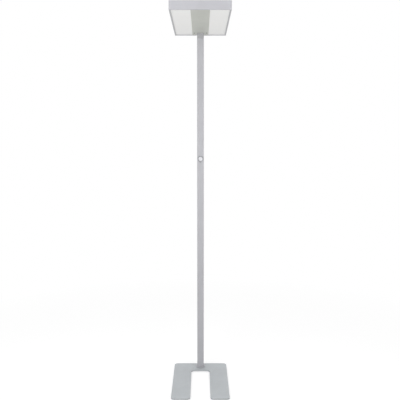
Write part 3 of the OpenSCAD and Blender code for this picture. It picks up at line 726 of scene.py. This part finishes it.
# Domed indicator of smoked acrylic, flush with the post
smoked = finish(
    "smoked",
    dark=display(52, 53, 57),
    light=display(66, 67, 71),
    rough=(0.08, 0.14),
    grain=(900, 900, 900),
    depth=0.000001,
    patch=0.004,
    dust=0,
    Coat_Weight=0.5,
)
lens_low, lens_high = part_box("indicator_lens")
lens_r = (lens_high.x - lens_low.x) / 2
lens_z = (lens_high.z + lens_low.z) / 2
lens_dome = 0.0004
dome_steps = 5
lens_outline = []
for step in range(dome_steps + 1):
    angle = step / dome_steps * math.pi / 2
    lens_outline.append((lens_r * math.sin(angle), lens_dome * (1 - math.cos(angle))))
lens_outline += [(lens_r, lens_high.y - lens_low.y), (0, lens_high.y - lens_low.y)]
indicator = turned(lens_outline, steps=32)
placed = gather(bmesh.new(), indicator, at(0, lens_low.y, lens_z) @ turned_back)
piece(placed, "indicator", smoked, ["indicator_lens"])
dress(lead_grey, "control_lead")


# ---- Neck ----
# A machined block whose long spigot fills the post's top. Above a shadow gap it shows as a
# short length of the post, and four M6 screws clamp the head's bracket down on it. That length
# wears the post's finish made darker, which is painted shade from the head above.

neck_gap = 0.001
neck_low_z = post_high.z + neck_gap
# The post's finish with darker colours: painted shade under the head, not a finish of its own.
neck_silver_painted_shade = finish(
    "neck_silver_painted_shade",
    dark=display(173, 173, 176),
    light=display(184, 184, 187),
    rough=(0.54, 0.66),
    grain=(2600, 2600, 14),
    depth=0.000006,
    metallic=0.35,
    rub=display(204, 204, 207),
)
shape = rounded("neck_block", post_edge)
neck = piece(shape, "neck", neck_silver_painted_shade, ["neck_block"])
# The block's faces below the shadow gap take black nylon. This is painted shade that darkens the
# gap; the spigot itself is not black.
neck.data.materials.append(black_nylon)
for face in neck.data.polygons:
    if face.center.z < neck_low_z - neck_gap / 4:
        face.material_index = 1

# Galvanised steel, with the large pale crystals of the zinc
galvanised = finish(
    "galvanised",
    dark=display(146, 149, 152),
    light=display(176, 179, 182),
    rough=(0.3, 0.5),
    grain=(700, 700, 700),
    depth=0.000004,
    metallic=1.0,
    rub=display(120, 120, 120),
    patch=0.02,
)
crystals, given, way_out = effect("crystals", {"Size": 0.006})
cells = maths(crystals, "DIVIDE", 1.0, given["Size"])
cell = add(crystals, "ShaderNodeTexVoronoi", {"Vector": given["Place"], "Scale": cells})
facing = add(crystals, "ShaderNodeSeparateColor", {0: cell.outputs["Color"]}).outputs[0]
crystals.links.new(facing, way_out)
crystal_contrast = 0.4
tree = galvanised.node_tree
place = add(tree, "ShaderNodeTexCoord").outputs["Object"]
pale = maths(tree, "MULTIPLY", masked(tree, crystals, place), crystal_contrast)
overlay(galvanised, pale, display(206, 209, 211))
bracket_edge = 0.0004
bracket = rounded("head_bracket", bracket_edge)
piece(bracket, "bracket", galvanised, ["head_bracket"])

chassis_high_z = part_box("chassis_plate")[1].z
bracket_t = 0.003
bracket_high_z = chassis_high_z + bracket_t
bracket_pitch = 0.028
bracket_screw = screw(thread_r=0.003, length=0.024, head_r=0.005, head_h=0.006, drive="hexagon")
bracket_places = [
    at(x * bracket_pitch / 2, post_y + y * bracket_pitch / 2, bracket_high_z)
    for x in (-1, 1)
    for y in (-1, 1)
]
placed = gather(bmesh.new(), bracket_screw, *bracket_places)
piece(placed, "clamp_screws", zinc_steel, ["bracket_screws"])


# ---- Chassis ----
# Aluminium plate on the rails' shelves, rolled along its length. It carries boards, driver and
# bracket, and spreads their heat. Eight pan-headed M4 screws hold it, and rubber grommets line
# the holes for the leads.

chassis_aluminium = finish(
    "chassis_aluminium",
    dark=display(158, 158, 160),
    light=display(192, 192, 194),
    rough=(0.28, 0.46),
    grain=(2200, 30, 2200),
    depth=0.000004,
    metallic=1.0,
    patch=0.06,
)
dress(chassis_aluminium, "chassis_plate")
dress(black_rubber, "lead_grommets")

pan_r = 0.004
chassis_screw = screw(thread_r=0.002, length=0.0038, head_r=pan_r, head_h=0.002, drive="cross")
chassis_rows = 4
held_low, held_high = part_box("chassis_screws")
held_step = (held_high.y - held_low.y - 2 * pan_r) / (chassis_rows - 1)
chassis_places = [
    at(x, held_low.y + pan_r + row * held_step, chassis_high_z)
    for x in (held_low.x + pan_r, held_high.x - pan_r)
    for row in range(chassis_rows)
]
placed = gather(bmesh.new(), chassis_screw, *chassis_places)
piece(placed, "plate_fixing_screws", zinc_steel, ["chassis_screws"])


# ---- Frame of the head ----
# Four rails of extruded aluminium, mitred and joined by angle keys pressed into their corners,
# lacquered silver. A lip below carries the diffusers and a ledge above carries the windows.

end_reach = 0.1


def runs_along(edge, direction):
    """Tells a rail's long edges from those of its mitred ends."""
    reach = edge.verts[1].co - edge.verts[0].co
    return abs(reach.normalized().dot(direction)) > 0.999 and reach.length > end_reach


rail_edge = 0.0005
for axis, rails, grain, dark, light in (
    ("x", ("front_rail", "rear_rail"), (14, 2600, 2600), (191, 191, 196), (202, 202, 207)),
    ("y", ("left_rail", "right_rail"), (2600, 14, 2600), (193, 194, 196), (204, 205, 207)),
):
    rail_silver = finish(
        "rail_silver_" + axis,
        dark=display(*dark),
        light=display(*light),
        rough=(0.54, 0.66),
        grain=grain,
        depth=0.000006,
        metallic=0.35,
        rub=display(216, 216, 220),
    )
    along = Vector((1, 0, 0)) if axis == "x" else Vector((0, 1, 0))
    for rail in rails:
        shape = merged_copy(rail)
        round_edges(shape, rail_edge, pick=lambda edge: runs_along(edge, along))
        piece(shape, rail.replace("_rail", "_frame_rail"), rail_silver, [rail])
dress(block_aluminium, "corner_brackets")


# ---- Panels ----
# Folded steel panels in satin silver, which close the space for the gear above and below. The
# lower one takes two black screws by the post, and the vented upper one four countersunk ones.

panel_satin = finish(
    "panel_satin",
    dark=display(204, 206, 199),
    light=display(216, 218, 211),
    rough=(0.54, 0.66),
    grain=(1800, 1800, 1800),
    depth=0.000004,
    metallic=0.35,
    rub=display(212, 212, 209),
)
panel_edge = 0.0003
gear_panel = rounded("centre_panel", panel_edge)
piece(gear_panel, "gear_panel", panel_satin, ["centre_panel"])
cover_edge = 0.0002
gear_cover = rounded("top_cover", cover_edge, 2)
piece(gear_cover, "gear_cover", panel_satin, ["top_cover"])

dark_oxide = finish(
    "dark_oxide",
    dark=display(52, 53, 55),
    light=display(74, 75, 78),
    rough=(0.3, 0.45),
    grain=(800, 800, 800),
    depth=0.000004,
    metallic=0.8,
    patch=0.01,
    dust=0,
)
panel_screw_low, panel_screw_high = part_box("panel_screws")
panel_head_r = 0.004
panel_head_h = 0.0013
panel_screw = screw(
    thread_r=0.002,
    length=panel_screw_high.z - panel_screw_low.z - panel_head_h,
    head_r=panel_head_r,
    head_h=panel_head_h,
    drive="cross",
)
panel_screw_y = (panel_screw_low.y + panel_screw_high.y) / 2
panel_places = [
    at(x, panel_screw_y, panel_screw_low.z + panel_head_h) @ turned_down
    for x in (panel_screw_low.x + panel_head_r, panel_screw_high.x - panel_head_r)
]
placed = gather(bmesh.new(), panel_screw, *panel_places)
piece(placed, "gear_panel_screws", dark_oxide, ["panel_screws"])

cover_low, cover_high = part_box("cover_screws")
cover_head_r = 0.003
cover_screw = screw(
    thread_r=0.0015,
    length=cover_high.z - cover_low.z,
    head_r=cover_head_r,
    head_h=0.0024,
    drive="cross",
    countersunk=True,
)
cover_places = [
    at(x, y, cover_high.z)
    for x in (cover_low.x + cover_head_r, cover_high.x - cover_head_r)
    for y in (cover_low.y + cover_head_r, cover_high.y - cover_head_r)
]
placed = gather(bmesh.new(), cover_screw, *cover_places)
piece(placed, "gear_cover_screws", zinc_steel, ["cover_screws"])


# ---- Diffusers and windows ----
# Opal acrylic below and frosted acrylic above, both with a fine pattern of prisms on the face.
# They lie loose on the lips and ledges. White frames line the chambers over the diffusers.
# The opal carries a faint painted glow that brightens the diffusers' shaded undersides.

prism_pitch = 0.003
prism_depth = 0.00004
prisms, given, way_out = effect("prisms", {"Pitch": prism_pitch})
spots = add(prisms, "ShaderNodeSeparateXYZ", {0: given["Place"]}).outputs
along_x = maths(prisms, "PINGPONG", spots["X"], given["Pitch"])
along_y = maths(prisms, "PINGPONG", spots["Y"], given["Pitch"])
height = maths(prisms, "ADD", along_x, along_y)
prisms.links.new(maths(prisms, "DIVIDE", height, given["Pitch"]), way_out)


def patterned(material):
    """Adds the relief of the prisms under a material's own grain."""
    tree = material.node_tree
    place = add(tree, "ShaderNodeTexCoord").outputs["Object"]
    height = masked(tree, prisms, place)
    relief = add(tree, "ShaderNodeBump", {"Height": height, "Distance": prism_depth})
    grain = tree.nodes["Principled BSDF"].inputs["Normal"].links[0].from_node
    tree.links.new(relief.outputs[0], grain.inputs["Normal"])
    return material


opal = patterned(finish(
    "opal",
    dark=display(244, 244, 242),
    light=display(250, 250, 248),
    rough=(0.3, 0.4),
    grain=(500, 500, 500),
    depth=0.000004,
    # Faint glow of painted light on the diffusers; the LEDs behind them are not lit.
    Emission_Color=(1.0, 1.0, 0.985, 1),
    Emission_Strength=0.07,
))
clear_satin = patterned(finish(
    "clear_satin",
    dark=display(234, 238, 239),
    light=display(242, 246, 247),
    rough=(0.34, 0.4),
    grain=(500, 500, 500),
    depth=0.000004,
    patch=0.3,
    dust=0.05,
    IOR=1.49,
    Transmission_Weight=0.3,
))
white_steel = finish(
    "white_steel",
    dark=display(236, 236, 234),
    light=display(244, 244, 242),
    rough=(0.35, 0.5),
    grain=(1200, 1200, 1200),
    depth=0.000006,
    rub=display(214, 214, 212),
)
pane_edge = 0.0004
sheet_edge = 0.0002
for side in ("left", "right"):
    shape = rounded(side + "_diffuser", pane_edge)
    piece(shape, side + "_opal_panel", opal, [side + "_diffuser"])
    shape = rounded(side + "_top_window", pane_edge)
    piece(shape, side + "_upper_window", clear_satin, [side + "_top_window"])
    shape = rounded(side + "_reflector", sheet_edge, 2)
    piece(shape, side + "_chamber_frame", white_steel, [side + "_reflector"])


# ---- LED boards ----
# Four aluminium-cored boards under white solder mask, two facing down and two up, bonded to
# the chassis. Each has two rows of white LEDs, whose yellow phosphor shows in their packages.

led_board = finish(
    "led_board",
    dark=display(232, 233, 230),
    light=display(241, 242, 239),
    rough=(0.3, 0.42),
    grain=(1400, 1400, 1400),
    depth=0.000003,
    patch=0.03,
    dust=0.08,
)
tree = led_board.node_tree
place = add(tree, "ShaderNodeTexCoord").outputs["Object"]
overlay(led_board, masked(tree, tracks, place, Pitch=0.006, Width=0.7), display(222, 221, 212))
phosphor = finish(
    "phosphor",
    dark=display(222, 196, 74),
    light=display(238, 216, 104),
    rough=(0.3, 0.45),
    grain=(2500, 2500, 2500),
    depth=0.000006,
    patch=0.002,
    dust=0,
)
board_t = 0.0016
led_h = 0.0008
led_rows = 2
led_count = 14
phosphor_half = 0.0011
phosphor_h = 0.00018
phosphor_round = phosphor_h * 0.8


def is_upper(edge):
    return all(corner.co.z > 0 for corner in edge.verts)


for board, up in (("downlight_board", -1), ("uplight_board", 1)):
    for side in ("left", "right"):
        node = f"{side}_{board}"
        low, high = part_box(node)
        back_z = low.z if up > 0 else high.z
        dot_z = back_z + up * (board_t + led_h + phosphor_h / 2)
        dot = bmesh.new()
        bmesh.ops.create_cube(dot, size=2)
        bmesh.ops.scale(dot, verts=dot.verts, vec=(phosphor_half, phosphor_half, phosphor_h / 2))
        round_edges(dot, phosphor_round, 2, pick=is_upper)
        row_step = (high.x - low.x) / led_rows
        led_step = (high.y - low.y) / led_count
        turn = Matrix.Identity(4) if up > 0 else turned_down
        spots = [
            at(low.x + (row + 0.5) * row_step, low.y + (i + 0.5) * led_step, dot_z) @ turn
            for row in range(led_rows)
            for i in range(led_count)
        ]
        placed = gather(bmesh.new(), dot, *spots)
        piece(placed, f"{side}_{board}_phosphor", phosphor, [])
        dress(led_board, node)


# ---- Gear and wiring ----
# The driver hangs under the chassis in a moulded white case, held by its ears. Clamp terminals
# on the bracket join the mains and control leads to it, and paired leads run on to the boards.

white_nylon = finish(
    "white_nylon",
    dark=display(222, 222, 218),
    light=display(234, 234, 230),
    rough=(0.4, 0.55),
    grain=(1100, 1100, 1100),
    depth=0.000006,
    rub=display(204, 203, 198),
    patch=0.01,
)
driver_edge = 0.0008
driver = rounded("led_driver", driver_edge)
piece(driver, "driver_case", white_nylon, ["led_driver"])
driver_low, driver_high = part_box("driver_screws")
ear_head_r = 0.004
ear_head_h = 0.002
ear_screw = screw(
    thread_r=0.002,
    length=driver_high.z - driver_low.z - ear_head_h,
    head_r=ear_head_r,
    head_h=ear_head_h,
    drive="cross",
)
ear_places = [
    at(0, y, driver_low.z + ear_head_h) @ turned_down
    for y in (driver_low.y + ear_head_r, driver_high.y - ear_head_r)
]
case_screws = gather(bmesh.new(), ear_screw, *ear_places)
piece(case_screws, "case_screws", zinc_steel, ["driver_screws"])

terminal_edge = 0.0006
terminals = rounded("terminal_block", terminal_edge, 2)
piece(terminals, "terminals", white_nylon, ["terminal_block"])
brass = finish(
    "brass",
    dark=display(176, 146, 84),
    light=display(206, 178, 112),
    rough=(0.25, 0.4),
    grain=(900, 900, 900),
    depth=0.000003,
    metallic=1.0,
    patch=0.004,
    dust=0,
)
ways = 5
terminal_low, terminal_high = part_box("terminal_block")
way = (terminal_high.x - terminal_low.x) / ways
clamp_depth = 0.0038
clamp_screw = screw(thread_r=0.0012, length=0.001, head_r=0.0018, head_h=0.001, drive="cross")
clamp_y = (terminal_low.y + terminal_high.y) / 2
clamp_places = [
    at(terminal_low.x + (i + 0.5) * way, clamp_y, terminal_high.z - clamp_depth)
    for i in range(ways)
]
clamping_screws = gather(bmesh.new(), clamp_screw, *clamp_places)
piece(clamping_screws, "clamping_screws", brass, [])
dress(lead_white, "driver_lead")
dress(lead_red, "downlight_leads", "uplight_leads")


# ---- Studio ----
# White paper floor under a plain white sky, with two soft lights in front and one high above.
# The paper keeps its shading and the lamp's shadow near by, and fades into the sky far off.

def shows_background(tree):
    """1 for the rays that see the white background: from the camera, and off or through gloss."""
    path = add(tree, "ShaderNodeLightPath").outputs
    gloss_or_camera = maths(tree, "MAXIMUM", path["Is Camera Ray"], path["Is Glossy Ray"])
    return maths(tree, "MAXIMUM", gloss_or_camera, path["Is Transmission Ray"])


sky_level = 0.45
world = bpy.data.worlds.new("studio")
bpy.context.scene.world = world
world.use_nodes = True
sky = world.node_tree
background = sky.nodes["Background"]
background.inputs["Color"].default_value = (1, 1, 1, 1)
strength = spread(sky, shows_background(sky), 0.0, 1.0, to_low=sky_level, to_high=1.0)
sky.links.new(strength, background.inputs["Strength"])

paper_level = 0.7
paper_lift = 0.45
fade_from = 0.7
fade_to = 2.4
floor_half = 40
paper = bpy.data.materials.new("white_paper")
paper.use_nodes = True
tree = paper.node_tree
tree.nodes.remove(tree.nodes["Principled BSDF"])
place = add(tree, "ShaderNodeTexCoord").outputs["Object"]
distance = add(tree, "ShaderNodeVectorMath", {0: place}, operation="LENGTH").outputs["Value"]
seen = shows_background(tree)
far = maths(tree, "MULTIPLY", spread(tree, distance, fade_from, fade_to), seen)
matt = add(tree, "ShaderNodeBsdfDiffuse", {"Color": (paper_level, paper_level, paper_level, 1)})
lift = add(tree, "ShaderNodeEmission", {"Strength": maths(tree, "MULTIPLY", seen, paper_lift)})
near = add(tree, "ShaderNodeAddShader", {0: matt.outputs[0], 1: lift.outputs[0]})
white = add(tree, "ShaderNodeEmission")
paper_end = add(tree, "ShaderNodeMixShader", {0: far, 1: near.outputs[0], 2: white.outputs[0]})
tree.links.new(paper_end.outputs[0], tree.nodes["Material Output"].inputs["Surface"])
shape = bmesh.new()
bmesh.ops.create_grid(shape, x_segments=1, y_segments=1, size=floor_half)
mesh = bpy.data.meshes.new("floor")
shape.to_mesh(mesh)
shape.free()
mesh.materials.append(paper)
floor = bpy.data.objects.new("floor", mesh)
bpy.context.scene.collection.objects.link(floor)
floor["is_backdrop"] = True


def soft_light(name, place, aim, size, power):
    """A square soft light at a place, turned to a point."""
    light = bpy.data.lights.new(name, "AREA")
    light.size = size
    light.energy = power
    holder = bpy.data.objects.new(name, light)
    turn = (Vector(aim) - Vector(place)).to_track_quat("-Z", "Y").to_matrix().to_4x4()
    holder.matrix_world = Matrix.Translation(place) @ turn
    bpy.context.scene.collection.objects.link(holder)


for side, power in ((-1, 17.2), (1, 12.2)):
    soft_light("key", place=(side * 1.2, -1.4, 1.45), aim=(0, 0.2, 1.4), size=1.6, power=power)
soft_light("top", place=(0, 3.0, 9.0), aim=(0, 0.1, 0), size=5.0, power=200)


# ---- Camera ----
# It stands in front at chest height and looks a little down at the lamp.
photo_px = 400
focal_px = 536
aim_px = (201.56, 195)
camera_place = (0.0062, -2.832, 1.35)
look_down = math.radians(5.714)
sensor = 36
lens = bpy.data.cameras.new("camera")
lens.sensor_width = sensor
lens.lens = sensor * focal_px / photo_px
lens.shift_x = (photo_px / 2 - aim_px[0]) / photo_px
lens.shift_y = (aim_px[1] - photo_px / 2) / photo_px
lens.clip_end = 200
camera = bpy.data.objects.new("camera", lens)
camera.matrix_world = at(*camera_place) @ Matrix.Rotation(math.pi / 2 - look_down, 4, "X")
bpy.context.scene.collection.objects.link(camera)
bpy.context.scene.camera = camera
bpy.context.scene.view_settings.view_transform = "Standard"

low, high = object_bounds()
